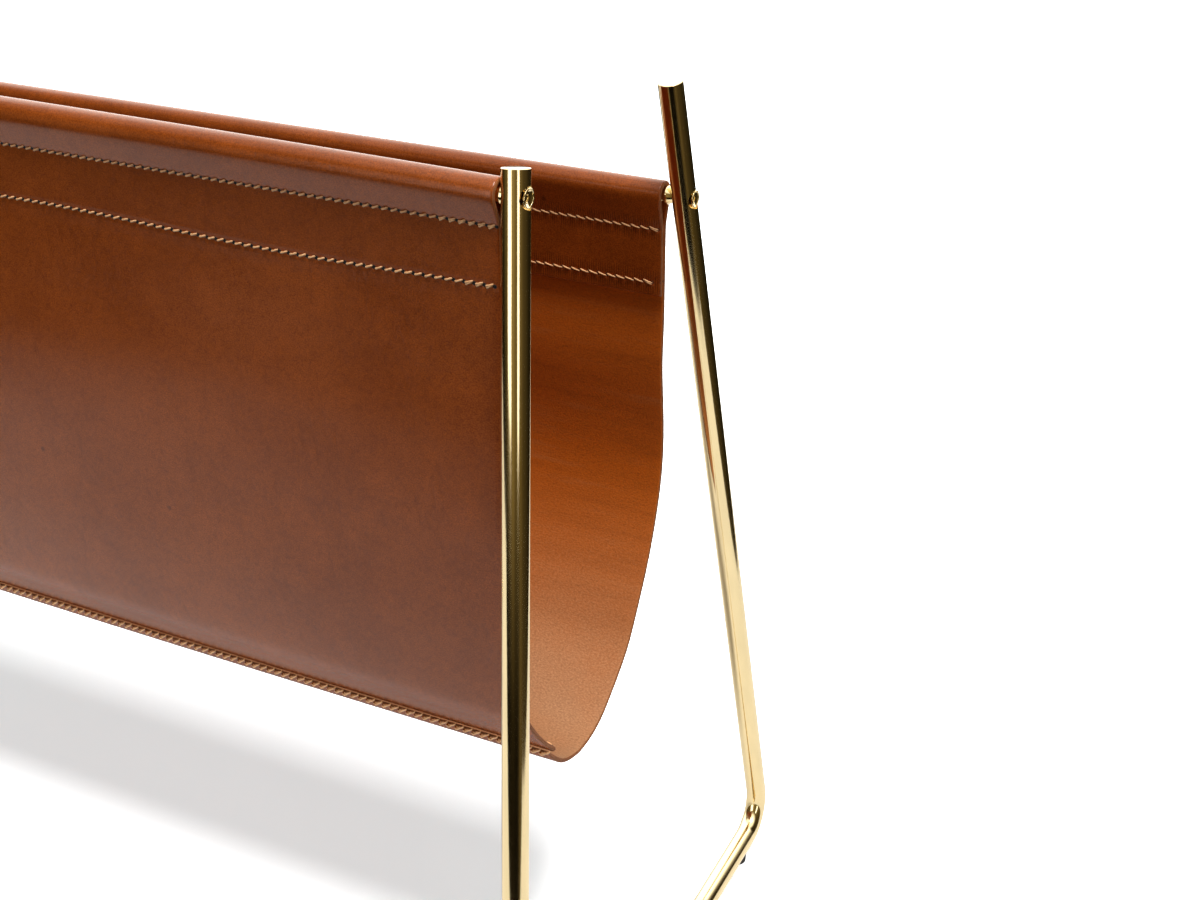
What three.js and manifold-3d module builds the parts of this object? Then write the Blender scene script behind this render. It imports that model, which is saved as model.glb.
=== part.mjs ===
// Magazine basket: a leather sling hung from two rods between two bent brass end frames.
// Millimetres. +X runs along the basket, +Y to the back, +Z up; the floor is z = 0.
import * as THREE from 'three';
import { mergeVertices } from 'three/addons/utils/BufferGeometryUtils.js';
import Module from 'manifold-3d';

const wasm = await Module();
wasm.setup();

const CLEARANCE = 0.3;
const OVERCUT = 1; // how far a cutting shape reaches past the face it cuts
const WELD_DISTANCE = 1e-4;

// End frames: one brass bar each, bent into two legs and a floor runner
const BAR_DIAMETER = 10;
const BAR_SIDES = 28;
const BEND_RADIUS = 16;
const BEND_STEPS = 9;
const LEG_TOP_HEIGHT = 404;
const RUNNER_AXIS_HEIGHT = 7;
const FOOT_HALF_SPREAD = 131.5;
const LEG_LEAN = THREE.MathUtils.degToRad(10.1);
const FRAME_SPLAY = THREE.MathUtils.degToRad(4);

// Rods that carry the sling, and how they are fastened to the legs
const ROD_DIAMETER = 6;
const FRONT_ROD_HEIGHT = 395;
const REAR_ROD_HEIGHT = 356;
const LEG_SPACING_AT_FRONT_ROD = 500;
const SPACER_NECK_DIAMETER = 6.4;
const SPACER_END_DIAMETER = 5.6;
const SPACER_END_TAPER = 0.4;
const SPACER_FLANGE_DIAMETER = 7.6;
const SPACER_FLANGE_TAPER = 0.5;
const ROD_END_FROM_LEG_AXIS = 9;
const SCREW_DIAMETER = 3;
const SCREW_LENGTH = 20;
const SCREW_HEAD_DIAMETER = 7;
const SCREW_HEAD_HEIGHT = 1.7;
const SCREW_HEAD_ROUNDING = 0.5;
const HEX_SOCKET_ACROSS_FLATS = 2.5;
const HEX_SOCKET_DEPTH = 0.9;
const SEAT_DIAMETER = 7.8;
const SEAT_FROM_LEG_AXIS = 3.3;
const TAPPED_HOLE_DEPTH = 14;
const ROUND_SIDES = 24;

// Sling leather
const LEATHER_THICKNESS = 2.3;
const SLING_LENGTH = 488.4;
const SLEEVE_INNER_RADIUS = 3.5;
const SLEEVE_ARC_STEPS = 20;
const LAYER_GAP = 0.3;
const SHARPEST_MITRE = 0.5; // a corner's offset grows to at most 1 / 0.5 of the half thickness
const FLAP_DRIFT_INWARD = 0.6;

// Depths below each rod: where its sleeve closes, the flap's cut edge, and the rows of stitches
const FRONT_DEPTHS = { pinch: 10.5, flap: 39.5, stitches: [11.5, 34] };
const REAR_DEPTHS = { pinch: 13, flap: 43, stitches: [14.2, 37] };

// Thread lines, each lying in a shallow stitching groove
const THREAD_WIDTH = 1.0;
const THREAD_HEIGHT = 0.8;
const THREAD_PROUD = 0.3;
const THREAD_END_MARGIN = 3;

// Pads under the runners
const PAD_DIAMETER = 9;
const PAD_TOP_HEIGHT = 4;
const PAD_FROM_CORNER = 30;

// Where the middle of the leather hangs below each sleeve, as (y, z), top to bottom
const FRONT_PANEL_HANG = [
  [-62, 330], [-63.5, 296], [-65.5, 260], [-63, 223], [-54.5, 184], [-48.5, 171.3], [-38, 157.5],
  [-28.5, 148],
];
const REAR_PANEL_HANG = [
  [69, 301], [68, 280], [71.5, 248], [69.3, 224], [60, 196.5], [46, 171], [35, 156], [16, 141],
  [5.5, 136], [-4.5, 134.5], [-13, 135.3], [-25.3, 140.7], [-40.3, 155.6],
];
const HANG_POINT_SPACING = 4.5;
const LAP_STITCH_FROM_EDGE = 4.5;

const BRASS = { color: 0xb98a3c, metalness: 1, roughness: 0.16 };
const SCREW_BRASS = { color: 0xb9964f, metalness: 1, roughness: 0.22 };
const LEATHER = { color: 0x7a4526, metalness: 0, roughness: 0.5 };
const THREAD = { color: 0xc79a63, metalness: 0, roughness: 0.7 };
const RUBBER = { color: 0x2b2523, metalness: 0, roughness: 0.8 };

const basket = new THREE.Group();

function addPiece(name, geometry, finish) {
  const mesh = new THREE.Mesh(geometry, new THREE.MeshStandardMaterial(finish));
  mesh.name = name;
  basket.add(mesh);
}

function toSolid(geometry) {
  const bare = geometry.clone();
  bare.deleteAttribute('normal');
  bare.deleteAttribute('uv');
  const welded = mergeVertices(bare, WELD_DISTANCE);
  return new wasm.Manifold(new wasm.Mesh({
    numProp: 3,
    vertProperties: Float32Array.from(welded.attributes.position.array),
    triVerts: Uint32Array.from(welded.index.array),
  }));
}

function toGeometry(solid) {
  const mesh = solid.getMesh();
  const geometry = new THREE.BufferGeometry();
  geometry.setAttribute('position', new THREE.BufferAttribute(mesh.vertProperties, 3));
  geometry.setIndex(new THREE.BufferAttribute(mesh.triVerts, 1));
  geometry.computeVertexNormals();
  return geometry;
}

function cut(geometry, ...tools) {
  let solid = toSolid(geometry);
  for (const tool of tools) solid = solid.subtract(toSolid(tool));
  return toGeometry(solid);
}

function circleOutline(diameter, sides) {
  const points = [];
  for (let i = 0; i < sides; i += 1) {
    const angle = (i / sides) * 2 * Math.PI;
    points.push(new THREE.Vector2(Math.cos(angle), Math.sin(angle)).multiplyScalar(diameter / 2));
  }
  return new THREE.Shape(points);
}

// A chain of straight runs joined by round bends. Its parameter steps finely only in the bends.
class BentAxis extends THREE.Curve {
  constructor(start, corners, end, radius, bendSteps) {
    super();
    this.stations = [{ point: start, tangent: corners[0].clone().sub(start).normalize() }];
    const chain = [start, ...corners, end];
    for (let i = 1; i < chain.length - 1; i += 1) {
      const before = chain[i].clone().sub(chain[i - 1]).normalize();
      const after = chain[i + 1].clone().sub(chain[i]).normalize();
      const turn = before.angleTo(after);
      const axis = before.clone().cross(after).normalize();
      const setBack = radius * Math.tan(turn / 2);
      const bendStart = chain[i].clone().addScaledVector(before, -setBack);
      const toCentre = axis.clone().cross(before).multiplyScalar(radius);
      const centre = bendStart.clone().add(toCentre);
      for (let k = 0; k <= bendSteps; k += 1) {
        const angle = (turn * k) / bendSteps;
        const spoke = toCentre.clone().negate().applyAxisAngle(axis, angle);
        this.stations.push({
          point: centre.clone().add(spoke),
          tangent: before.clone().applyAxisAngle(axis, angle),
        });
      }
    }
    const last = chain.length - 1;
    this.stations.push({ point: end, tangent: end.clone().sub(chain[last - 1]).normalize() });
  }

  get steps() {
    return this.stations.length - 1;
  }

  getUtoTmapping(u) {
    return u;
  }

  getPoint(t, target = new THREE.Vector3()) {
    const place = t * this.steps;
    const index = Math.min(Math.floor(place), this.steps - 1);
    return target.lerpVectors(this.stations[index].point, this.stations[index + 1].point, place - index);
  }

  getTangent(t, target = new THREE.Vector3()) {
    return target.copy(this.stations[Math.round(t * this.steps)].tangent);
  }
}

// side is +1 for the right end and -1 for the left; depth is -1 for the front leg and +1 for the rear
function legAxisPoint(side, depth, height) {
  const x = LEG_SPACING_AT_FRONT_ROD / 2 + (FRONT_ROD_HEIGHT - height) * Math.tan(FRAME_SPLAY);
  const y = FOOT_HALF_SPREAD - (height - RUNNER_AXIS_HEIGHT) * Math.tan(LEG_LEAN);
  return new THREE.Vector3(side * x, depth * y, height);
}

function barAlong(side, diameter) {
  const axis = new BentAxis(
    legAxisPoint(side, -1, LEG_TOP_HEIGHT),
    [legAxisPoint(side, -1, RUNNER_AXIS_HEIGHT), legAxisPoint(side, 1, RUNNER_AXIS_HEIGHT)],
    legAxisPoint(side, 1, LEG_TOP_HEIGHT),
    BEND_RADIUS,
    BEND_STEPS,
  );
  return new THREE.ExtrudeGeometry(circleOutline(diameter, BAR_SIDES), {
    steps: axis.steps, extrudePath: axis, bevelEnabled: false,
  });
}

// Turns a lathe profile of (radius, distance) points so that its axis runs along X
function turned(profile, x, y, z) {
  const points = profile.map(([radius, distance]) => new THREE.Vector2(radius, distance));
  const geometry = new THREE.LatheGeometry(points, ROUND_SIDES);
  geometry.rotateZ(-Math.PI / 2);
  geometry.translate(x, y, z);
  return geometry;
}

function roundBar(diameter, x0, x1, y, z) {
  const low = Math.min(x0, x1);
  const length = Math.abs(x1 - x0);
  return turned([[0, 0], [diameter / 2, 0], [diameter / 2, length], [0, length]], low, y, z);
}

const rodStations = [
  { name: 'front', depth: -1, height: FRONT_ROD_HEIGHT },
  { name: 'rear', depth: 1, height: REAR_ROD_HEIGHT },
].map((rod) => ({ ...rod, leg: legAxisPoint(1, rod.depth, rod.height) }));

const boreDiameter = SCREW_DIAMETER + 2 * CLEARANCE;

function endFrame(side) {
  const tools = rodStations.flatMap(({ leg }) => [
    roundBar(boreDiameter, side * (leg.x - BAR_DIAMETER), side * (leg.x + BAR_DIAMETER), leg.y, leg.z),
    roundBar(SEAT_DIAMETER, side * (leg.x + SEAT_FROM_LEG_AXIS), side * (leg.x + BAR_DIAMETER), leg.y, leg.z),
  ]);
  return cut(barAlong(side, BAR_DIAMETER), ...tools);
}

function slingRod({ leg }) {
  const reach = leg.x - ROD_END_FROM_LEG_AXIS;
  const holes = [-1, 1].map((side) => (
    roundBar(boreDiameter, side * (reach - TAPPED_HOLE_DEPTH), side * (reach + OVERCUT), leg.y, leg.z)
  ));
  return cut(roundBar(ROD_DIAMETER, -reach, reach, leg.y, leg.z), ...holes);
}

// A collar between the rod's end and the leg, hollowed to the leg's round. Its flange starts beyond the leather.
function spacer(side, { leg }) {
  const inner = leg.x - ROD_END_FROM_LEG_AXIS + CLEARANCE;
  const width = leg.x - inner;
  const neck = SLING_LENGTH / 2 + CLEARANCE - inner;
  const profile = [
    [0, 0], [SPACER_END_DIAMETER / 2, 0], [SPACER_NECK_DIAMETER / 2, SPACER_END_TAPER],
    [SPACER_NECK_DIAMETER / 2, neck], [SPACER_FLANGE_DIAMETER / 2, neck + SPACER_FLANGE_TAPER],
    [SPACER_FLANGE_DIAMETER / 2, width], [0, width],
  ];
  const blank = turned(profile, inner, leg.y, leg.z);
  if (side < 0) blank.rotateZ(Math.PI).translate(0, 2 * leg.y, 0);
  const bore = roundBar(boreDiameter, side * (inner - OVERCUT), side * (leg.x + OVERCUT), leg.y, leg.z);
  return cut(blank, bore, barAlong(side, BAR_DIAMETER + 2 * CLEARANCE));
}

function screw(side, { leg }) {
  const seat = leg.x + SEAT_FROM_LEG_AXIS + CLEARANCE;
  const face = seat + SCREW_HEAD_HEIGHT;
  const radius = SCREW_HEAD_DIAMETER / 2;
  const shank = SCREW_DIAMETER / 2;
  const start = seat - SCREW_LENGTH;
  const profile = [
    [0, 0], [shank, 0], [shank, SCREW_LENGTH], [radius, SCREW_LENGTH],
    [radius, face - SCREW_HEAD_ROUNDING - start],
    [radius - SCREW_HEAD_ROUNDING, face - start], [0, face - start],
  ];
  const blank = turned(profile, start, leg.y, leg.z);
  const hexRadius = HEX_SOCKET_ACROSS_FLATS / Math.sqrt(3);
  const socket = new THREE.CylinderGeometry(hexRadius, hexRadius, 2 * HEX_SOCKET_DEPTH, 6);
  socket.rotateZ(Math.PI / 2);
  socket.translate(face, leg.y, leg.z);
  const geometry = cut(blank, socket);
  if (side < 0) geometry.rotateZ(Math.PI).translate(0, 2 * leg.y, 0);
  return geometry;
}

// The sleeve's middle line round the rod: up the inner flap, over the rod and down the outer layer.
// side is -1 where outside is -Y (front) and +1 where outside is +Y (rear).
function sleeveLine(side, leg, depths) {
  const radius = SLEEVE_INNER_RADIUS + LEATHER_THICKNESS / 2;
  const half = (LEATHER_THICKNESS + LAYER_GAP) / 2;
  const innerLayer = -half - FLAP_DRIFT_INWARD;
  const outerLayer = half - FLAP_DRIFT_INWARD;
  const tangentAngle = (across, turn) => (
    Math.atan2(-depths.pinch, across) + turn * Math.acos(radius / Math.hypot(across, depths.pinch))
  );
  const from = tangentAngle(innerLayer, -1);
  const to = tangentAngle(outerLayer, 1);
  const line = [[innerLayer, -depths.flap], [innerLayer, -depths.pinch]];
  for (let i = 0; i <= SLEEVE_ARC_STEPS; i += 1) {
    const angle = (from + 2 * Math.PI) + ((to - from - 2 * Math.PI) * i) / SLEEVE_ARC_STEPS;
    line.push([radius * Math.cos(angle), radius * Math.sin(angle)]);
  }
  line.push([outerLayer, -depths.pinch], [outerLayer, -depths.flap]);
  return line.map(([across, up]) => new THREE.Vector2(leg.y + side * across, leg.z + up));
}

function hangLine(start, hang) {
  const curve = new THREE.SplineCurve([start, ...hang.map(([y, z]) => new THREE.Vector2(y, z))]);
  return curve.getSpacedPoints(Math.round(curve.getLength() / HANG_POINT_SPACING)).slice(1);
}

// Sheet of even thickness whose cross-section follows a line in the YZ plane, run along X
function sheetAlong(line, thickness, length) {
  const sideLine = (offset) => line.map((point, i) => {
    const before = line[Math.max(i - 1, 0)];
    const after = line[Math.min(i + 1, line.length - 1)];
    const first = point.clone().sub(before).normalize();
    const second = after.clone().sub(point).normalize();
    const along = first.clone().add(second).normalize();
    const bend = i === 0 || i === line.length - 1 ? 1 : Math.max(along.dot(second), SHARPEST_MITRE);
    return point.clone().add(new THREE.Vector2(-along.y, along.x).multiplyScalar(offset / bend));
  });
  const outline = [...sideLine(thickness / 2), ...sideLine(-thickness / 2).reverse()];
  const geometry = new THREE.ExtrudeGeometry(new THREE.Shape(outline), {
    depth: length, steps: 1, bevelEnabled: false,
  });
  geometry.translate(0, 0, -length / 2);
  const yzAlongX = new THREE.Matrix4().makeBasis(
    new THREE.Vector3(0, 1, 0), new THREE.Vector3(0, 0, 1), new THREE.Vector3(1, 0, 0),
  );
  return geometry.applyMatrix4(yzAlongX);
}

// A straight strip along X, centred at (y, z), turned about X by an angle
function strip(length, width, height, y, z, angle) {
  const geometry = new THREE.BoxGeometry(length, height, width);
  geometry.rotateX(angle);
  geometry.translate(0, y, z);
  return geometry;
}

// Thread and its groove on a face whose outward direction is the unit vector (outY, outZ)
function threadLine(faceY, faceZ, outY, outZ) {
  const angle = Math.atan2(outZ, outY);
  const length = SLING_LENGTH - 2 * THREAD_END_MARGIN;
  const place = (height, proud) => [
    faceY + outY * (proud - height / 2), faceZ + outZ * (proud - height / 2), angle,
  ];
  const thread = strip(length, THREAD_WIDTH, THREAD_HEIGHT, ...place(THREAD_HEIGHT, THREAD_PROUD));
  const grooveHeight = THREAD_HEIGHT + CLEARANCE + OVERCUT;
  const groove = strip(
    length + 2 * CLEARANCE, THREAD_WIDTH + 2 * CLEARANCE, grooveHeight,
    ...place(grooveHeight, THREAD_PROUD + OVERCUT),
  );
  return { thread, groove };
}

function slingPanel(side, rod, hang, depths) {
  const sleeve = sleeveLine(side, rod.leg, depths);
  const line = [...sleeve, ...hangLine(sleeve[sleeve.length - 1], hang)];
  const outerFace = rod.leg.y + side * (LEATHER_THICKNESS + LAYER_GAP / 2 - FLAP_DRIFT_INWARD);
  const threads = depths.stitches.map((depth) => threadLine(outerFace, rod.leg.z - depth, side, 0));
  return { sheet: sheetAlong(line, LEATHER_THICKNESS, SLING_LENGTH), threads };
}

// The rear panel's lower edge laps up outside the front panel's, sewn with one line of thread
function lapThread() {
  const edge = new THREE.Vector2(...REAR_PANEL_HANG[REAR_PANEL_HANG.length - 1]);
  const before = new THREE.Vector2(...REAR_PANEL_HANG[REAR_PANEL_HANG.length - 2]);
  const back = before.clone().sub(edge).normalize();
  const out = new THREE.Vector2(back.y, -back.x);
  const face = edge.clone()
    .addScaledVector(back, LAP_STITCH_FROM_EDGE)
    .addScaledVector(out, LEATHER_THICKNESS / 2);
  return threadLine(face.x, face.y, out.x, out.y);
}

const [frontRod, rearRod] = rodStations;
const ends = [
  { name: 'right', side: 1 },
  { name: 'left', side: -1 },
];

for (const { name, side } of ends) {
  addPiece(`${name}_end_frame`, endFrame(side), BRASS);
  for (const rod of rodStations) {
    addPiece(`${name}_${rod.name}_spacer`, spacer(side, rod), BRASS);
    addPiece(`${name}_${rod.name}_screw`, screw(side, rod), SCREW_BRASS);
    const padY = rod.depth * (FOOT_HALF_SPREAD - PAD_FROM_CORNER);
    const foot = legAxisPoint(side, rod.depth, RUNNER_AXIS_HEIGHT);
    const pad = new THREE.CylinderGeometry(PAD_DIAMETER / 2, PAD_DIAMETER / 2, PAD_TOP_HEIGHT, ROUND_SIDES);
    pad.rotateX(Math.PI / 2);
    pad.translate(foot.x, padY, PAD_TOP_HEIGHT / 2);
    addPiece(`${name}_${rod.name}_floor_pad`, cut(pad, barAlong(side, BAR_DIAMETER + 2 * CLEARANCE)), RUBBER);
  }
}
for (const rod of rodStations) addPiece(`${rod.name}_rod`, slingRod(rod), BRASS);

const front = slingPanel(-1, frontRod, FRONT_PANEL_HANG, FRONT_DEPTHS);
const rear = slingPanel(1, rearRod, REAR_PANEL_HANG, REAR_DEPTHS);
const lap = lapThread();
addPiece('front_panel', cut(front.sheet, ...front.threads.map(({ groove }) => groove)), LEATHER);
addPiece('rear_panel', cut(rear.sheet, ...rear.threads.map(({ groove }) => groove), lap.groove), LEATHER);
['upper', 'lower'].forEach((row, i) => {
  addPiece(`front_${row}_thread`, front.threads[i].thread, THREAD);
  addPiece(`rear_${row}_thread`, rear.threads[i].thread, THREAD);
});
addPiece('bottom_seam_thread', lap.thread, THREAD);

export default basket;
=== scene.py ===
"""Magazine basket: a saddle-stitched leather sling hung on two rods between bent brass bars."""

import math
import random

import bmesh
import bpy
import numpy as np
from bpy.props import FloatProperty, FloatVectorProperty, IntProperty, PointerProperty
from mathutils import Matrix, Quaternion, Vector


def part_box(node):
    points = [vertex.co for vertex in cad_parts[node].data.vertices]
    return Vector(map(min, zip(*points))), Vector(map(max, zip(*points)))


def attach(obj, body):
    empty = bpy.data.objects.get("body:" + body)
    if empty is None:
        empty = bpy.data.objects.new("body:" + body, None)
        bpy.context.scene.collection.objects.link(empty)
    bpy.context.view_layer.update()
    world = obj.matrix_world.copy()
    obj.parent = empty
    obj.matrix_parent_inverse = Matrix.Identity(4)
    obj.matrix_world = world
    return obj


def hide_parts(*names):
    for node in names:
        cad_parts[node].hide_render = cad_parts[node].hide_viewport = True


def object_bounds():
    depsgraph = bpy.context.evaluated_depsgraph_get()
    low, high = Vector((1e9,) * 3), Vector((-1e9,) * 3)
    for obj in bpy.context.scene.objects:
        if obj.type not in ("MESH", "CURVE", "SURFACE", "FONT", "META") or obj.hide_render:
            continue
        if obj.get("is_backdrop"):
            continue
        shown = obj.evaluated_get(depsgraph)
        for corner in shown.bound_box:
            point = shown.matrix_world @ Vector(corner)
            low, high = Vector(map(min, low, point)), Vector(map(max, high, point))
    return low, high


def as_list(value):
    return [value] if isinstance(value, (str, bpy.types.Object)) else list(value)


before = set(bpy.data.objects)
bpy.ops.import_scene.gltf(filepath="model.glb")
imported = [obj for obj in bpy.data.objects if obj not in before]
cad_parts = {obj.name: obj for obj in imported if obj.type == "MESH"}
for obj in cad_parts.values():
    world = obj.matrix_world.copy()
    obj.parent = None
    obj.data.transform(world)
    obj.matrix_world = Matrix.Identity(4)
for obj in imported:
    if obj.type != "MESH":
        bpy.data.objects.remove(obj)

bl_info = {
    "name": "Magazine Basket",
    "version": (1, 0, 0),
    "blender": (4, 5, 0),
    "location": "View3D > Sidebar > Basket",
    "description": "Builds a leather sling magazine basket around its packed frame",
    "category": "Object",
}

MM = 0.001
ENDS = (("right", 1), ("left", -1))
RODS = (("front", -1), ("rear", 1))
CAD_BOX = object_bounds()
OUTER, EDGE, INNER = range(3)
X_AXIS, Y_AXIS, Z_AXIS = Vector((1, 0, 0)), Vector((0, 1, 0)), Vector((0, 0, 1))

# Air between a fitted piece and the bent bar
FIT = 0.05 * MM
# Edges whose faces meet at more than this many degrees stay sharp
SHARP = 38
# Spacing of the points on a panel's line
LINE_STEP = 0.5 * MM
# How far the marks of a row of stitches reach to either side
MARK_REACH = 7 * MM

# Middle of the leather below each sleeve, as (y, z) in millimetres, top to bottom
FRONT_HANG = (
    (-64, 330), (-65.4, 300), (-65.3, 262), (-62.3, 223), (-54.5, 184), (-48.5, 171.3), (-38, 157.5),
    (-28.5, 148),
)
REAR_HANG = (
    (69.8, 301), (69, 280), (71.5, 248), (69.3, 224), (60, 196.5), (46, 171), (35, 156), (16, 141),
    (5.5, 136), (-4.5, 134.5), (-13, 135.3), (-25.3, 140.7), (-40.3, 155.6),
)
# Depth below the rod and pitch of each row of stitches, in millimetres
ROWS = {
    "front": {"upper": (10.4, 3.75), "lower": (33.4, 3.97)},
    "rear": {"upper": (13.9, 4.12), "lower": (37, 4.15)},
}
# Depth below the rod at which a sleeve's layers meet, in millimetres
PINCH = {"front": 10.5, "rear": 13}
# Slow waves of the leather, as (radians per metre along, radians per metre up, phase, share)
WAVES = ((21, 9, 0.6, 0.6), (47, -23, 2.1, 0.4))
# Doubled stitches at each end of a row
DOUBLED = {"upper": 6, "lower": 3}
# Strands of the bottom seam, as (millimetres in from the cut edge, shift in pitches)
LAP_STRANDS = ((0.2, 0.3), (1.1, 0.0), (2.0, -0.3))

# Sizes of the surroundings, in metres
FLOOR_REACH = 6
ROOM_RADIUS = 4.0
BACKDROP_RADIUS = 5.5
# Whites of the stage, as (share of the floor's colour that is reflected, glow)
FLOOR_WHITE, BACKDROP_WHITE, TABLE_WHITE, SOFTBOX_WHITE = (1.8, 0.37), (0, 1.1), (0.64, 0.27), (0, 2.1)
# Tint of the floor's glow, which keeps the shadow neutral
FLOOR_TINT = (0.86, 1.0, 1.05)
# Brightness of the room, as (degrees from the front towards the right end, level)
ROOM_GLOW = (
    (-180, 0.02), (-75, 0.05), (-50, 0.13), (-20, 0.2), (9, 0.3), (28, 0.16), (50, 0.2), (66, 0.16),
    (86, 0.09), (110, 0.07), (140, 0.03),
)
# Softboxes as (name, place, width) in metres, their height, and the point that they face
SOFTBOXES = (("left", (-0.37, -1.97, 0.72), 1.0), ("right", (1.74, -1.41, 0.72), 0.5))
SOFTBOX_HEIGHT = 1.3
SOFTBOX_AIM = (0.2, -0.05, 0.42)
# Place of the overhead light and the point that it faces
OVERHEAD_PLACE, OVERHEAD_AIM = (0.35, -0.265, 2), (0, 0, 0.2)


def length(name, description, millimetres):
    """A size that a user may change."""
    return FloatProperty(name=name, description=description, default=millimetres * MM, unit="LENGTH")


def angle(name, description, degrees):
    """An angle that a user may change."""
    return FloatProperty(name=name, description=description, default=math.radians(degrees), subtype="ANGLE")


def colour(name, description, rgb):
    """A colour that a user may change."""
    return FloatVectorProperty(
        name=name, description=description, default=rgb, subtype="COLOR", size=3, min=0, max=1,
    )


def level(name, description, default):
    """A plain number that a user may change."""
    return FloatProperty(name=name, description=description, default=default)


def scaled(rgb, share):
    """A lighter or darker colour."""
    return tuple(part * share for part in rgb)


def centre(node):
    """Middle of a node's box."""
    low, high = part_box(node)
    return (low + high) / 2


class BarSettings(bpy.types.PropertyGroup):
    """Sizes of the bent brass bars."""

    bar: length("Bar diameter", "Diameter of the bent brass bar", 10)
    bend: length("Bend radius", "Radius of the bar's axis in its two bends", 16)
    top: length("Top height", "Height of the cut tops of the legs", 404)
    spacing: length("Leg spacing", "Between the legs' axes from end to end, at the front rod", 500)
    runner: length("Runner height", "Height of the floor runner's axis", 7)
    spread: length("Foot half spread", "From the middle to each foot corner, front to rear", 131.5)
    lean: angle("Leg lean", "How far each leg leans towards the other", 10.1)
    splay: angle("Frame splay", "How far each end frame leans in at the top", 4)
    edge: length("Cut edge rounding", "Rounding of the bar's cut ends", 0.35)
    sides: IntProperty(name="Sides", description="Facets round the bar", default=72, min=12)


class FixingSettings(bpy.types.PropertyGroup):
    """Sizes of the screws and spacers."""

    seat: length("Seat diameter", "Flat seat that the screw's head lies in", 7.8)
    seat_depth: length("Seat from axis", "From the leg's axis to the seat", 3.3)
    head: length("Head diameter", "Diameter of the screw's head", 7)
    head_height: length("Head height", "Height of the screw's head", 1.7)
    rim: length("Rim width", "Rounded rim round the screw's hollow", 0.65)
    dish_depth: length("Dish depth", "Depth of the hollow in the screw's head", 0.55)
    socket: length("Socket width", "Across the flats of the hexagon socket", 2.5)
    neck: length("Spacer neck", "Diameter of the spacer inside the sleeve", 6.4)
    spacer: length("Spacer diameter", "Diameter of the bead between leather and leg", 7.6)
    gap: length("Gap", "Air between pieces that meet", 0.3)


class SlingSettings(bpy.types.PropertyGroup):
    """Sizes of the leather sling."""

    thickness: length("Leather thickness", "Thickness of the leather", 2.3)
    width: length("Sling length", "Length of the sling along its rods", 489.2)
    sleeve: length("Sleeve radius", "Inside radius of the sleeve round the rod", 3.5)
    layers: length("Layer gap", "Between the two layers of a sleeve's seam", 0.3)
    flap: length("Front flap depth", "From the front rod down to its flap's cut edge", 39.5)
    rear_flap: length("Rear flap depth", "From the rear rod down to its flap's cut edge", 43)
    drift: length("Flap drift", "How far the seam lies inward of the rod", 0.6)
    rounding: length("Edge rounding", "Rounding of the burnished cut edges", 0.95)
    column: length("Column width", "Spacing of the mesh along the rods", 3)
    sag: length("Bottom sag", "How far the bottom hangs lower in the middle of the length", 1.5)
    rise: length("Roll rise", "How much fuller the front sleeve is in the middle of the length", 1.3)
    ripple: length("Undulation", "Height of the leather's slow waves", 0.5)
    wander: length("Seam wander", "How far the front's lower seam wanders up", 1.7)


class StitchSettings(bpy.types.PropertyGroup):
    """Sizes of the stitches and of the lapped bottom seam."""

    pitch: length("Pitch", "Spacing of the bottom seam's stitches", 4)
    thread: length("Thread diameter", "Diameter of the waxed thread", 0.88)
    margin: length("End margin", "From the leather's end to the last hole", 0.4)
    skive: length("Skived width", "Width of the rear panel's pared lower edge", 4.2)
    trim: length("Trim", "How much the lap's edge is trimmed back", 4.8)
    front_trim: length("Front trim", "How much the front panel's lower edge is trimmed back", 3.3)
    slant: angle("Slant", "Slant of the stitches to their row", 16)


class FinishSettings(bpy.types.PropertyGroup):
    """Colours of the materials and of the surroundings."""

    brass: colour("Brass", "Polished brass", (0.87, 0.71, 0.42))
    leather: colour("Leather", "Waxed outer side of the leather", (0.37, 0.094, 0.0145))
    leather_dark: colour("Leather shade", "Darker clouds of the outer side", (0.3, 0.073, 0.011))
    flesh: colour("Inner side", "Unfinished inner side of the leather", (0.49, 0.122, 0.006))
    # The paler flesh towards the bottom is painted sheen and light
    flesh_pale: colour("Sheened flesh side", "Inside of the leather towards the bottom", (0.42, 0.228, 0.118))
    mound: colour("Raised stitch holes", "Leather raised beside the flap's stitches", (0.42, 0.12, 0.035))
    cut: colour("Cut edge", "Burnished cut edges", (0.36, 0.135, 0.045))
    thread: colour("Thread", "Waxed thread", (0.95, 0.55, 0.27))
    rubber: colour("Rubber", "Floor pads", (0.04, 0.034, 0.03))
    floor: colour("Floor", "Studio floor", (0.93, 0.93, 0.93))
    backlight: colour("Back light", "Bright wall behind the basket", (1.0, 0.97, 0.93))
    room: colour("Room", "Dim room that shows in the brass", (1.0, 0.78, 0.36))


class StageSettings(bpy.types.PropertyGroup):
    """The camera and the lights."""

    camera: FloatVectorProperty(
        name="Camera", description="Place of the camera", default=(0.4931, -0.4960, 0.5586), subtype="XYZ",
        unit="LENGTH", size=3,
    )
    pitch: angle("Camera pitch", "How far the camera looks down", 27.21)
    yaw: angle("Camera yaw", "How far the camera turns left of the rear", 26.16)
    lens: level("Lens", "Focal length in millimetres", 48.21)
    table: length("Table width", "Width of the white table that shows in the brass", 1500)
    table_front: length("Table front", "From the middle of the basket to the table's front edge", 465)
    table_cut: length("Table cut", "How much narrower the table is on its right side", 170)
    ambient: level("Ambient", "Strength of the light from all round", 0.12)
    sky: level("Overhead light", "Strength of the broad overhead light", 3.1)
    sky_width: angle("Overhead width", "Angular width of the overhead light", 23)
    left_box: level("Left softbox", "Power of the left softbox", 3.6)
    right_box: level("Right softbox", "Power of the right softbox", 2.4)


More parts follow.
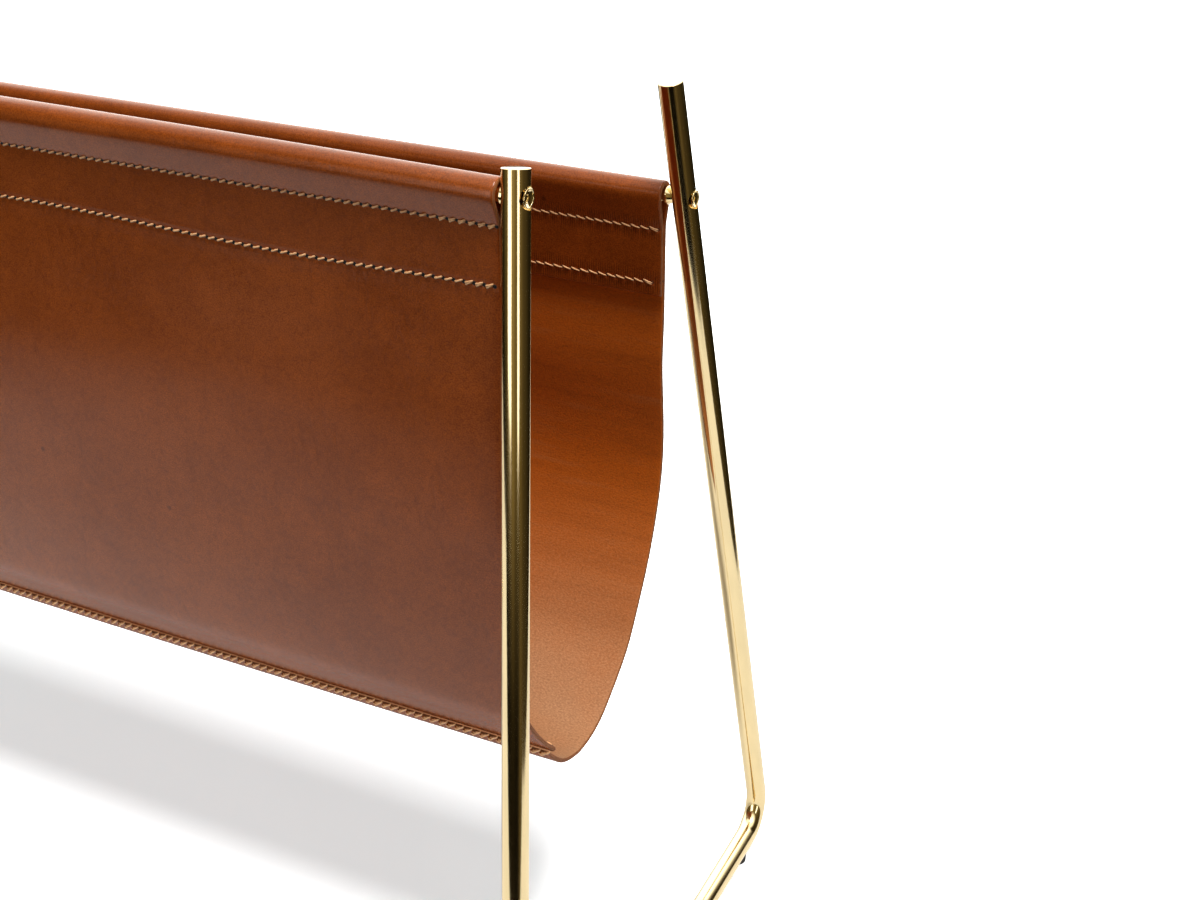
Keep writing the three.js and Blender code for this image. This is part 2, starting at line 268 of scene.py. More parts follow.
class BasketSettings(bpy.types.PropertyGroup):
    """All settings of the basket."""

    bars: PointerProperty(type=BarSettings)
    fixings: PointerProperty(type=FixingSettings)
    sling: PointerProperty(type=SlingSettings)
    stitches: PointerProperty(type=StitchSettings)
    finishes: PointerProperty(type=FinishSettings)
    stage: PointerProperty(type=StageSettings)


class Socket:
    """A shader socket that adds Math nodes when it is used in an expression."""

    def __init__(self, shader, socket):
        self.shader = shader
        self.socket = socket

    def math(self, operation, *values):
        """Adds a Math node whose first value is this socket."""
        return self.shader.node("ShaderNodeMath", {"operation": operation}, dict(enumerate((self, *values))))

    def __add__(self, other):
        return self.math("ADD", other)

    def __sub__(self, other):
        return self.math("SUBTRACT", other)

    def __mul__(self, other):
        return self.math("MULTIPLY", other)

    def __truediv__(self, other):
        return self.math("DIVIDE", other)

    def __abs__(self):
        return self.math("ABSOLUTE")

    def __rsub__(self, other):
        return self.shader.node("ShaderNodeMath", {"operation": "SUBTRACT"}, {0: other, 1: self})

    __radd__ = __add__
    __rmul__ = __mul__

    def step(self, low, high):
        """0 below low, 1 above high and smooth between."""
        return self.shader.node(
            "ShaderNodeMapRange", {"interpolation_type": "SMOOTHSTEP"},
            {"Value": self, "From Min": low, "From Max": high},
        )


class Shader:
    """A material's node tree, built from expressions."""

    def __init__(self, name):
        self.material = bpy.data.materials.new(name)
        self.material.use_nodes = True
        self.tree = self.material.node_tree
        self.surface = self.tree.nodes["Principled BSDF"]

    def node(self, kind, settings=None, inputs=None, output=0):
        """Adds a node with its settings, then its inputs, and returns one of its outputs."""
        node = self.tree.nodes.new(kind)
        for name, value in (settings or {}).items():
            if name == "stops":
                ramp = node.color_ramp
                while len(ramp.elements) < len(value):
                    ramp.elements.new(1)
                for element, (place, rgb) in zip(ramp.elements, value):
                    element.position = place
                    element.color = (*rgb, 1)
            else:
                setattr(node, name, value)
        for key, value in (inputs or {}).items():
            self.feed(node.inputs[key], value)
        return Socket(self, node.outputs[output])

    def feed(self, socket, value):
        """Links or sets one socket."""
        if isinstance(value, Socket):
            self.tree.links.new(value.socket, socket)
        elif socket.type == "RGBA" and len(value) == 3:
            socket.default_value = (*value, 1)
        else:
            socket.default_value = value

    def set(self, **values):
        """Links or sets the surface's sockets by name."""
        for name, value in values.items():
            self.feed(self.surface.inputs[name.replace("_", " ").title().replace("Ior", "IOR")], value)

    def attribute(self, name):
        """An attribute of the mesh."""
        return self.node("ShaderNodeAttribute", {"attribute_name": name}, output="Vector")

    def place(self):
        """Place in the piece's own coordinates."""
        return self.node("ShaderNodeTexCoord", output="Object")

    def parts(self, vector):
        """The vector's x, y and z."""
        return [self.node("ShaderNodeSeparateXYZ", inputs={0: vector}, output=axis) for axis in range(3)]

    def stretched(self, vector, scale):
        """The vector multiplied by a scale of each axis."""
        return self.node("ShaderNodeVectorMath", {"operation": "MULTIPLY"}, {0: vector, 1: scale})

    def noise(self, vector, scale, detail=3, roughness=0.5):
        """A cloudy pattern."""
        inputs = {"Vector": vector, "Scale": scale, "Detail": detail, "Roughness": roughness}
        return self.node("ShaderNodeTexNoise", inputs=inputs)

    def cells(self, vector, scale, feature="DISTANCE_TO_EDGE"):
        """A pattern of cells."""
        return self.node("ShaderNodeTexVoronoi", {"feature": feature}, {"Vector": vector, "Scale": scale})

    def mix(self, factor, first, second, blend="MIX"):
        """Colours blended by a factor. The colour sockets of the node are numbered."""
        settings = {"data_type": "RGBA", "blend_type": blend}
        return self.node("ShaderNodeMix", settings, {0: factor, 6: first, 7: second}, output=2)

    def bump(self, height, distance, strength):
        """A normal tilted by a height."""
        inputs = {"Height": height, "Distance": distance, "Strength": strength}
        return self.node("ShaderNodeBump", inputs=inputs)


def polished_brass(finishes, name):
    """Brass with faint polishing lines along the bar."""
    shader = Shader(name)
    grain = shader.attribute("grain")
    lines = shader.noise(shader.stretched(grain, (60, 9000, 9000)), 1, 4, 0.6)
    smears = shader.noise(shader.stretched(grain, (40, 160, 160)), 1, 3)
    tone = shader.mix(smears.step(0.3, 0.75), scaled(finishes.brass, 0.93), finishes.brass)
    shader.set(
        base_color=tone, metallic=1.0, roughness=0.085 + smears * 0.05 + lines * 0.03,
        normal=shader.bump(lines, 0.01 * MM, 0.35),
    )
    return shader.material


def leather_grain(shader, place, fine, coarse):
    """Height of the pebbled grain: small cells under a slow swell."""
    cells = shader.cells(place, fine)
    swell = shader.noise(place, coarse, 4, 0.6)
    return cells.step(0.0, 0.35) * 0.6 + swell


def seam_marks(shader):
    """Masks of each row's pricked holes, pressed line, comb marks and lumps.

    Phase counts the stitches, off is the distance from the row and near tells that a row is close.
    """
    phase, off, near = shader.parts(shader.attribute("seam"))
    # Half a hole's length in pitches, and half its height. Every mark fades between two distances
    half_length, half_height = 0.23, 0.85 * MM
    gap = abs((phase + 0.5).math("FRACT") - 0.5)
    slot = gap * gap / (half_length * half_length) + (off * off) / (half_height * half_height)
    hole = (1 - slot.step(0.55, 1.0)) * near
    groove = (1 - abs(off).step(0.5 * MM, 2.2 * MM)) * near
    comb = (phase * (8 * math.pi)).math("SINE") * (1 - abs(off).step(2.5 * MM, 6.5 * MM)) * near
    mound = (1 - gap.step(0.12, 0.34)) * (1 - abs(off + 1.0 * MM).step(0.3 * MM, 1.2 * MM)) * near
    return hole, groove, comb, mound


def outer_leather(finishes, sling):
    """Waxed grain side: cloudy brown, fine pores, faint creases and pricked rows, with painted shade in
    holes, grooves, creases and comb marks.
    """
    shader = Shader("waxed_leather")
    hide = shader.attribute("hide")
    hole, groove, comb, mound = seam_marks(shader)
    _, down, _ = shader.parts(hide)
    flap = 1 - down.step(sling.rear_flap + 1 * MM, sling.rear_flap + 3 * MM)
    comb, mound = comb * flap, mound * flap
    shade, base = finishes.leather_dark, finishes.leather
    clouds = shader.noise(hide, 14, 5, 0.6)
    patches = shader.noise(hide, 60, 4, 0.6)
    mottle = shader.noise(hide, 420, 4, 0.7)
    pores = shader.noise(hide, 1900, 3, 0.75)
    specks = shader.cells(hide, 30, "F1").step(0.02, 0.045)
    creases = shader.noise(shader.stretched(hide, (22, 5, 1)), 1, 5, 0.6)
    crease = 1 - abs(creases - 0.5).step(0.0, 0.01)
    tone = shader.mix(clouds.step(0.32, 0.68), shade, base)
    for mask, tint in (
        (patches.step(0.45, 0.75) * 0.45, scaled(base, 1.22)),
        (mottle.step(0.42, 0.7) * 0.35, scaled(shade, 0.55)),
        (pores.step(0.42, 0.66) * 0.6, scaled(shade, 0.4)),
        ((1 - pores.step(0.3, 0.46)) * 0.35, scaled(base, 1.5)),
        ((1 - specks) * 0.6, scaled(shade, 0.35)),
        # Painted shade: darker in the pressed groove, along the creases and in the dips of the comb marks
        (groove * 0.2, shade),
        (crease * 0.2, scaled(shade, 0.6)),
        ((comb + 0.2).step(0.1, 0.9) * 0.45, scaled(shade, 0.35)),
        (mound * 0.5, finishes.mound),
        # Painted shade: the pricked holes are coloured near black, less dark on the flap
        (hole * (1 - flap * 0.5), (0.003, 0.0015, 0.001)),
    ):
        tone = shader.mix(mask, tone, tint)
    grain = leather_grain(shader, hide, 1500, 260)
    height = grain * 0.1 + pores * 0.09 - groove * 0.35 - hole * 1.6 - crease * 0.1 - comb * 0.2 + mound * 0.5
    shader.set(
        base_color=tone, roughness=0.15 + clouds * 0.07 + pores * 0.08 + hole * 0.4, specular_ior_level=0.4,
        normal=shader.bump(height, 0.4 * MM, 0.6),
    )
    return shader.material


def inner_leather(finishes):
    """Flesh side: glossy orange near the rods, paler and softly wrinkled towards the bottom, with painted
    sheen below and painted shade above.
    """
    shader = Shader("leather_inside")
    hide = shader.attribute("hide")
    hole, groove, _, _ = seam_marks(shader)
    _, down, _ = shader.parts(hide)
    # Paler towards the bottom is painted sheen where light falls into the pocket, and the deeper orange above
    # is painted interreflected shade
    painted_sheen_below = down.step(0.175, 0.32)
    base = shader.mix(painted_sheen_below, finishes.flesh, finishes.flesh_pale)
    clouds = shader.noise(hide, 16, 5, 0.6)
    nap = shader.noise(hide, 1100, 4, 0.7)
    drift = shader.noise(shader.stretched(hide, (900, 1300, 900)), 1, 4, 0.6)
    streaks = shader.noise(shader.stretched(hide, (9, 85, 1)), 1, 5, 0.65)
    tone = shader.mix((1 - clouds.step(0.3, 0.7)) * 0.25, base, finishes.flesh)
    dark = shader.mix(0.6, tone, (0.0, 0.0, 0.0))
    pale = shader.mix(0.5, tone, finishes.flesh_pale)
    for mask, tint in (
        ((1 - painted_sheen_below) * streaks.step(0.46, 0.74) * 0.36, dark),
        ((1 - painted_sheen_below) * (1 - streaks.step(0.3, 0.48)) * 0.35, pale),
        (nap.step(0.42, 0.72) * 0.3, dark),
        # Painted highlight on the crests of the wrinkles towards the bottom, and painted shade in their
        # hollows
        (painted_sheen_below * drift.step(0.5, 0.62) * 0.3, scaled(finishes.flesh_pale, 1.5)),
        ((1 - drift.step(0.36, 0.5)) * 0.2, dark),
        # Painted shade: the pricked holes are coloured near black
        (hole, (0.01, 0.005, 0.002)),
    ):
        tone = shader.mix(mask, tone, tint)
    height = drift * 0.6 + nap * 0.2 - groove * 0.3 - hole
    shader.set(
        base_color=tone, roughness=0.45 + nap * 0.15 + painted_sheen_below * 0.1, specular_ior_level=0.2, sheen_weight=0.1,
        sheen_roughness=0.5, normal=shader.bump(height, 0.4 * MM, 0.7),
    )
    return shader.material


def cut_leather(finishes):
    """Burnished cut edge with the fibres of the leather's middle."""
    shader = Shader("leather_edge")
    hide = shader.attribute("hide")
    fibres = shader.noise(shader.stretched(hide, (500, 500, 2600)), 1, 4, 0.65)
    tone = shader.mix(fibres.step(0.35, 0.7), finishes.cut, scaled(finishes.cut, 0.6))
    shader.set(base_color=tone, roughness=0.6 + fibres * 0.2, normal=shader.bump(fibres, 0.15 * MM, 0.6))
    return shader.material


def waxed_thread(finishes):
    """Twisted waxed thread, with a painted highlight on its upper side and painted shade below."""
    shader = Shader("waxed_thread")
    grain = shader.attribute("grain")
    _, upper, _ = shader.parts(grain)
    fibre = shader.noise(shader.stretched(grain, (2600, 3, 3)), 1, 3, 0.7)
    # Painted light and shade: the thread's upper side is coloured paler and its lower side darker
    lit = (upper + fibre * 0.8).step(-0.5, 0.9)
    tone = shader.mix(lit, scaled(finishes.thread, 0.3), finishes.thread)
    shader.set(base_color=tone, roughness=0.38 + fibre * 0.2, normal=shader.bump(fibre, 0.12 * MM, 0.7))
    return shader.material


def matt_rubber(finishes):
    """Dusty black rubber."""
    shader = Shader("pad_rubber")
    dust = shader.noise(shader.place(), 1800, 3, 0.6)
    tone = shader.mix(dust.step(0.4, 0.8) * 0.4, finishes.rubber, scaled(finishes.rubber, 2))
    shader.set(base_color=tone, roughness=0.72 + dust * 0.15, normal=shader.bump(dust, 0.05 * MM, 0.5))
    return shader.material


def glowing_white(finishes, name, share, glow, tint=(1.0, 1.0, 1.0)):
    """White that reflects a share of the floor's colour and glows in its tinted colour."""
    shader = Shader(name)
    mottle = shader.noise(shader.place(), 3, 3)
    pale = scaled(finishes.floor, share)
    tone = shader.mix(mottle, scaled(pale, 0.99), pale)
    lit = tuple(part * tinted for part, tinted in zip(finishes.floor, tint))
    shader.set(
        base_color=tone, roughness=0.6, specular_ior_level=0.0, emission_color=lit, emission_strength=glow,
    )
    return shader.material


def dim_room(finishes):
    """Dark warm surroundings, brighter round the softboxes, overhead and behind the basket."""
    shader = Shader("dim_room")
    x, y, z = shader.parts(shader.place())
    turn = x.math("ARCTAN2", 0 - y) / (2 * math.pi) + 0.5
    rise = z / ROOM_RADIUS
    stops = [(degrees / 360 + 0.5, (bright,) * 3) for degrees, bright in ROOM_GLOW]
    glow = shader.node("ShaderNodeValToRGB", {"stops": stops}, {"Fac": turn})
    near_floor = shader.mix(turn.step(0.62, 0.7), (0.05, 0.05, 0.05), (0.8, 0.8, 0.8))
    shade = shader.mix(rise.step(-0.34, -0.03), near_floor, (1, 1, 1))
    tone = shader.mix(1.0, glow, shade, "MULTIPLY")
    tone = shader.mix(1.0, tone, finishes.room, "MULTIPLY")
    behind = (y * 0.9 - x * 0.44) / ROOM_RADIUS
    tone = shader.mix(rise.step(0.55, 0.85), tone, scaled(finishes.backlight, 1.4))
    back_wall = behind.step(0.35, 0.6) * rise.step(-0.16, -0.08)
    tone = shader.mix(back_wall, tone, scaled(finishes.backlight, 2.2))
    shader.set(
        base_color=(0, 0, 0), roughness=1.0, specular_ior_level=0.0, emission_color=tone,
        emission_strength=1.0,
    )
    return shader.material


def add_piece(name, vertices, faces, materials, slots=None, attributes=None, sharp=SHARP):
    """A smooth-shaded mesh object, with its material of each face and its attributes of each vertex."""
    mesh = bpy.data.meshes.new(name)
    mesh.from_pydata([tuple(v) for v in vertices], [], [list(f) for f in faces])
    for material in materials:
        mesh.materials.append(material)
    if slots is not None:
        mesh.polygons.foreach_set("material_index", list(slots))
    for key, values in (attributes or {}).items():
        values = np.asarray(values, np.float32)
        kind, field = ("FLOAT_VECTOR", "vector") if values.ndim == 2 else ("FLOAT", "value")
        mesh.attributes.new(key, kind, "POINT").data.foreach_set(field, values.ravel())
    mesh.validate()
    mesh.shade_smooth()
    mesh.set_sharp_from_angle(angle=math.radians(sharp))
    piece = bpy.data.objects.new(name, mesh)
    bpy.context.scene.collection.objects.link(piece)
    return piece


def ring_faces(rings, around):
    """Quads between closed rings of points that follow each other."""
    quads = []
    for ring in range(rings - 1):
        here, there = ring * around, (ring + 1) * around
        for k in range(around):
            after = (k + 1) % around
            quads.append((here + k, here + after, there + after, there + k))
    return quads


def leg_point(bars, side, depth, height):
    """A point on a leg's axis."""
    x = bars.spacing / 2 + (centre("front_rod").z - height) * math.tan(bars.splay)
    y = bars.spread - (height - bars.runner) * math.tan(bars.lean)
    return Vector((side * x, depth * y, height))


def bar_path(bars, side, bend_steps=22):
    """Stations (point, direction) along the bar's axis, close together at the bends and the screw seats."""
    corners = [
        leg_point(bars, side, -1, bars.top), leg_point(bars, side, -1, bars.runner),
        leg_point(bars, side, 1, bars.runner), leg_point(bars, side, 1, bars.top),
    ]
    stations = []
    start = corners[0]
    for before, corner, after in zip(corners, corners[1:], corners[2:]):
        incoming = (corner - before).normalized()
        outgoing = (after - corner).normalized()
        turn = incoming.angle(outgoing)
        axis = incoming.cross(outgoing).normalized()
        setback = bars.bend * math.tan(turn / 2)
        bend_start = corner - incoming * setback
        stations += straight(start, bend_start, incoming)
        spoke = -axis.cross(incoming) * bars.bend
        hub = bend_start - spoke
        for k in range(1, bend_steps):
            swing = Quaternion(axis, turn * k / bend_steps)
            turned, along = spoke.copy(), incoming.copy()
            turned.rotate(swing)
            along.rotate(swing)
            stations.append((hub + turned, along))
        start = corner + outgoing * setback
    outgoing = (corners[3] - corners[2]).normalized()
    return stations + straight(start, corners[3], outgoing)


def straight(start, end, along):
    """Stations every 12 mm, and every millimetre for 7 mm to either side of a screw's seat."""
    span = (end - start).length
    places = {0.0, span}
    places |= {k * 12 * MM for k in range(1, int(span / (12 * MM)))}
    if abs(along.z) > 0.5:
        for rod, _ in RODS:
            middle = (centre(f"{rod}_rod").z - start.z) / along.z
            places |= {middle + k * MM for k in range(-7, 8) if 0 < middle + k * MM < span}
    return [(start + along * place, along) for place in sorted(places)]


def round_sweep(stations, radius, sides, edge):
    """A round bar along the stations with rounded cut ends: (vertices, faces, grain)."""
    plane = stations[0][1].cross(stations[len(stations) // 2][1]).normalized()

    def end_ring(station, inward, degrees):
        """A ring of a rounded end, from 90 degrees at the cut to 0 at the bar's side."""
        point, along = station
        turn = math.radians(degrees)
        inset = edge * (1 - math.cos(turn))
        return point + along * edge * (1 - math.sin(turn)) * inward, along, radius - inset

    first, last = stations[0], stations[-1]
    rings = [end_ring(first, 1, degrees) for degrees in (90, 60, 30)]
    for point, along in stations:
        if (point - first[0]).length > edge and (point - last[0]).length > edge:
            rings.append((point, along, radius))
    rings += [end_ring(last, -1, degrees) for degrees in (30, 60, 90)]
    vertices, grain, travelled, previous = [], [], 0.0, rings[0][0]
    for point, along, size in rings:
        travelled += (point - previous).length
        previous = point
        side = along.cross(plane).normalized()
        for k in range(sides):
            turn = 2 * math.pi * k / sides
            vertices.append(point + (side * math.cos(turn) + plane * math.sin(turn)) * size)
            grain.append((travelled, radius * math.cos(turn), radius * math.sin(turn)))
    faces = ring_faces(len(rings), sides)
    faces.append(tuple(reversed(range(sides))))
    faces.append(tuple(range((len(rings) - 1) * sides, len(rings) * sides)))
    return vertices, faces, grain


def lathe(profile, origin, axis, across=Y_AXIS, saddle=None):
    """Turns (radius, distance) points about an axis. A saddle moves the last ring onto another surface."""
    sides = 64
    up = axis.cross(across)
    vertices, grain = [], []
    for radius, distance in profile:
        for k in range(sides):
            turn = 2 * math.pi * k / sides
            spoke = across * math.cos(turn) + up * math.sin(turn)
            vertices.append(origin + axis * distance + spoke * radius)
            grain.append((radius * 0.2, turn * 0.003, distance))
    if saddle:
        for k in range(-sides, 0):
            vertices[k] = saddle(vertices[k])
    vertices += [origin + axis * profile[0][1], origin + axis * profile[-1][1]]
    if saddle:
        vertices[-1] = saddle(vertices[-1])
    grain += [(0, 0, 0)] * 2
    rings = len(profile)
    count = rings * sides
    faces = ring_faces(rings, sides)
    faces += [(count, (k + 1) % sides, k) for k in range(sides)]
    base = (rings - 1) * sides
    faces += [(count + 1, base + k, base + (k + 1) % sides) for k in range(sides)]
    return vertices, faces, grain


def face_out(piece):
    """Turns the faces of a closed mesh outward."""
    mesh = bmesh.new()
    mesh.from_mesh(piece.data)
    bmesh.ops.recalc_face_normals(mesh, faces=mesh.faces)
    mesh.to_mesh(piece.data)
    mesh.free()


def cut_with(piece, tool):
    """Cuts one mesh from another and keeps the result as the piece's mesh."""
    modifier = piece.modifiers.new("cut", "BOOLEAN")
    modifier.operation = "DIFFERENCE"
    modifier.solver = "EXACT"
    modifier.object = tool
    bpy.context.view_layer.update()
    result = bpy.data.meshes.new_from_object(piece.evaluated_get(bpy.context.evaluated_depsgraph_get()))
    piece.modifiers.clear()
    piece.data = result
    bpy.data.objects.remove(tool)
    result.shade_smooth()
    result.set_sharp_from_angle(angle=math.radians(SHARP))


def settle(piece, node):
    """The piece rides on the frame's only body and stands for its node."""
    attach(piece, "root")
    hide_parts(node)


def add_turned(name, brass, node, profile, origin, axis, saddle=None):
    """A turned brass piece that stands for its node."""
    vertices, faces, grain = lathe(profile, origin, axis, saddle=saddle)
    piece = add_piece(name, vertices, faces, [brass], attributes={"grain": grain})
    face_out(piece)
    settle(piece, node)


def rod_leg(bars, rod, side):
    """Where a leg's axis passes the rod's axis."""
    return leg_point(bars, side, dict(RODS)[rod], centre(f"{rod}_rod").z)


class BASKET_OT_end_frames(bpy.types.Operator):
    """Two bent brass bars with flat seats for the screws"""
    bl_idname = "basket.end_frames"
    bl_label = "End frames"

    def execute(self, context):
        basket = context.scene.basket
        bars, fixings = basket.bars, basket.fixings
        brass = polished_brass(basket.finishes, "polished_brass")
        for end, side in ENDS:
            vertices, faces, grain = round_sweep(bar_path(bars, side), bars.bar / 2, bars.sides, bars.edge)
            piece = add_piece(f"{end}_bent_bar", vertices, faces, [brass], attributes={"grain": grain})
            face_out(piece)
            for rod, _ in RODS:
                axis = X_AXIS * side
                profile = ((fixings.seat / 2, 0), (fixings.seat / 2, bars.bar * 0.8))
                origin = rod_leg(bars, rod, side) + axis * fixings.seat_depth
                vertices, faces, _ = lathe(profile, origin, axis)
                tool = add_piece("seat_cutter", vertices, faces, [])
                face_out(tool)
                cut_with(piece, tool)
            settle(piece, f"{end}_end_frame")
        return {"FINISHED"}


class BASKET_OT_fixings(bpy.types.Operator):
    """Rods, rounded spacers and dished socket screws"""
    bl_idname = "basket.fixings"
    bl_label = "Rods, spacers and screws"

    def execute(self, context):
        basket = context.scene.basket
        brass = polished_brass(basket.finishes, "turned_brass")
        for rod, _ in RODS:
            self.rod(rod, brass)
            for end, side in ENDS:
                leg = rod_leg(basket.bars, rod, side)
                self.spacer(basket, f"{end}_{rod}", side, leg, brass)
                self.screw(basket.fixings, f"{end}_{rod}", side, leg, brass)
        return {"FINISHED"}

    def rod(self, rod, brass):
        """A straight rod as long and thick as the frame's."""
        low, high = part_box(f"{rod}_rod")
        radius, span, chamfer = (high.z - low.z) / 2, high.x - low.x, 0.4 * MM
        profile = (
            (radius - chamfer, 0), (radius, chamfer), (radius, span / 2), (radius, span - chamfer),
            (radius - chamfer, span),
        )
        middle = centre(f"{rod}_rod")
        origin = Vector((low.x, middle.y, middle.z))
        add_turned(f"{rod}_sling_rod", brass, f"{rod}_rod", profile, origin, X_AXIS)

    def spacer(self, basket, name, side, leg, brass):
        """A neck in the sleeve, a rounded flange and a side that fits the leg."""
        bars, fixings = basket.bars, basket.fixings
        low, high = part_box(f"{name}_spacer")
        near, far = (low.x, high.x) if side > 0 else (high.x, low.x)
        radius, neck = fixings.spacer / 2, fixings.neck / 2
        clear = basket.sling.width / 2 + fixings.gap - abs(near)
        chamfer, flange, belly = 0.4 * MM, 0.9 * MM, 1.6 * MM
        profile = [(neck * 0.88, 0), (neck, min(chamfer, clear * 0.9)), (neck, clear)]
        for k in range(8):
            swing = math.radians(90 * k / 7)
            rise, run = (radius - neck) * math.sin(swing), flange * (1 - math.cos(swing))
            profile.append((neck + rise, clear + run))
        profile += [(radius * 0.97, clear + belly), (radius * 0.74, abs(far - near))]

        def saddle(point):
            """Moves a point along X onto the leg's round side."""
            depth = point.y - leg.y - (point.z - leg.z) * -math.copysign(math.tan(bars.lean), leg.y)
            room = math.sqrt(max((bars.bar / 2) ** 2 - (depth * math.cos(bars.lean)) ** 2, 0))
            axis_x = leg.x - side * (point.z - leg.z) * math.tan(bars.splay)
            return Vector((axis_x - side * (room + FIT), point.y, point.z))

        origin = Vector((near, leg.y, leg.z))
        add_turned(f"{name}_bead", brass, f"{name}_spacer", profile, origin, X_AXIS * side, saddle)

    def screw(self, fixings, name, side, leg, brass):
        """A round head with a rolled rim, a hollow and a socket."""
        radius, rim, socket = fixings.head / 2, fixings.rim / 2, fixings.socket / 2
        crest = fixings.head_height - rim
        profile = [(socket * 1.2, 0), (radius * 0.93, crest - 0.5 * MM), (radius, crest)]
        for degrees in range(20, 181, 20):
            swing = math.radians(degrees)
            profile.append((radius - rim + rim * math.cos(swing), crest + rim * math.sin(swing)))
        bowl, lip = radius - 2 * rim, socket * 1.12
        for k in range(1, 9):
            share = k / 8
            sunk = fixings.dish_depth * math.sin(math.pi / 2 * share)
            profile.append((bowl + (lip - bowl) * share, crest - sunk))
        profile += [(socket, crest - fixings.dish_depth - 0.1 * MM), (socket * 0.97, 0.4 * MM)]
        axis = X_AXIS * side
        origin = leg + axis * (fixings.seat_depth + FIT)
        add_turned(f"{name}_socket_screw", brass, f"{name}_screw", profile, origin, axis)


class BASKET_OT_floor_pads(bpy.types.Operator):
    """Rubber pads saddled under the floor runners"""
    bl_idname = "basket.floor_pads"
    bl_label = "Floor pads"

    def execute(self, context):
        basket = context.scene.basket
        bars = basket.bars
        rubber = matt_rubber(basket.finishes)
        for end, _ in ENDS:
            for rod, _ in RODS:
                low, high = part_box(f"{end}_{rod}_floor_pad")
                middle = (low + high) / 2
                radius = (high.y - low.y) / 2

                def saddle(point):
                    """Moves a point up onto the runner's round underside."""
                    room = math.sqrt(max((bars.bar / 2) ** 2 - (point.x - middle.x) ** 2, 0))
                    return Vector((point.x, point.y, bars.runner - room - FIT))

                profile = [
                    (radius * 0.88, 0), (radius * 0.96, 0.15 * MM), (radius, 0.5 * MM), (radius, 1.6 * MM),
                    (radius, 2.2 * MM),
                ]
                origin = Vector((middle.x, middle.y, 0))
                vertices, faces, _ = lathe(profile, origin, Z_AXIS, X_AXIS, saddle)
                piece = add_piece(f"{end}_{rod}_rubber_pad", vertices, faces, [rubber])
                face_out(piece)
                settle(piece, f"{end}_{rod}_floor_pad")
        return {"FINISHED"}


def smoothed(line, spacing, spread):
    """The line at even spacing with its corners eased."""
    line = np.asarray(line, float)
    steps = np.r_[0, np.cumsum(np.linalg.norm(np.diff(line, axis=0), axis=1))]
    places = np.linspace(0, steps[-1], int(round(steps[-1] / spacing)) + 1)
    even = np.column_stack([np.interp(places, steps, line[:, axis]) for axis in range(2)])
    reach = int(4 * spread / spacing)
    weights = np.exp(-0.5 * (np.arange(-reach, reach + 1) * spacing / spread) ** 2)
    weights /= weights.sum()
    before = 2 * even[0] - even[reach:0:-1]
    after = 2 * even[-1] - even[-2:-reach - 2:-1]
    padded = np.vstack([before, even, after])
    return np.column_stack([np.convolve(padded[:, axis], weights, "valid") for axis in range(2)])


def hang_curve(points, per_span=24):
    """A uniform Catmull-Rom curve through the points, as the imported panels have."""
    points = np.asarray(points, float)
    padded = np.vstack([points[0], points, points[-1]])
    curve = [points[0]]
    for a, b, c, d in zip(padded, padded[1:], padded[2:], padded[3:]):
        v0, v1 = (c - a) / 2, (d - b) / 2
        cubic = 2 * b - 2 * c + v0 + v1
        square = -3 * b + 3 * c - 2 * v0 - v1
        for t in np.linspace(0, 1, per_span + 1)[1:]:
            curve.append(cubic * t ** 3 + square * t ** 2 + v0 * t + b)
    return np.array(curve)


def panel_line(sling, rod, hang, pinch, flap):
    """Middle of the leather as (y, z) points: up the flap, round the rod, down and along the hang."""
    side = dict(RODS)[rod]
    middle = centre(f"{rod}_rod")
    radius = sling.sleeve + sling.thickness / 2
    half = (sling.thickness + sling.layers) / 2
    inner, outer = -half - sling.drift, half - sling.drift

    def tangent(across, turn):
        """Where the leather leaves the sleeve's circle towards a point below the rod."""
        reach = math.hypot(across, pinch)
        return math.atan2(-pinch, across) + turn * math.acos(radius / reach)

    start, end = tangent(inner, -1), tangent(outer, 1)
    line = [(inner, -flap), (inner, -pinch)]
    steps = 60
    for k in range(steps + 1):
        turn = start + 2 * math.pi + (end - start - 2 * math.pi) * k / steps
        line.append((radius * math.cos(turn), radius * math.sin(turn)))
    line += [(outer, -pinch), (outer, -sling.flap)]
    line = [(middle.y + side * across, middle.z + up) for across, up in line]
    hung = hang_curve([line[-1]] + [(y * MM, z * MM) for y, z in hang])
    return smoothed(line + [tuple(point) for point in hung[1:]], LINE_STEP, 1.1 * MM)


def eased(value, low, high):
    """0 below low, 1 above high and smooth between."""
    share = np.clip((np.asarray(value, float) - low) / (high - low), 0, 1)
    return share * share * (3 - 2 * share)


def drape(sling, points):
    """Slow waves, a fuller front roll, a wandering lower seam and a sag of the bottom, along the length.

    Each is eased in by height, so that the sleeves stay round their rods.
    """
    points = np.array(points, float)
    x, y, z = points.T
    middle = np.clip(1 - (x / (sling.width / 2)) ** 2, 0, 1)
    low = np.clip((340 * MM - z) / (200 * MM), 0, 1)
    front = centre("front_rod")
    roll = eased(z, front.z - 9 * MM, front.z + 3 * MM)
    seam = eased(z, front.z - 60 * MM, front.z - 36 * MM)
    seam = seam * (1 - eased(z, front.z - 32 * MM, front.z - 12 * MM))
    wander = np.sin(np.pi * (np.abs(x) - 150 * MM) / (200 * MM)) ** 2
    swell = sum(np.sin(x * along + z * up + phase) * share for along, up, phase, share in WAVES)
    free = eased(-z, -345 * MM, -285 * MM) * eased(z, 160 * MM, 210 * MM)
    points[:, 1] += sling.ripple * swell * free
    points[:, 2] += (y < 0) * middle * roll * sling.rise
    points[:, 2] += (y < 0) * seam * wander * sling.wander
    points[:, 2] -= sling.sag * middle * low ** 2
    return points


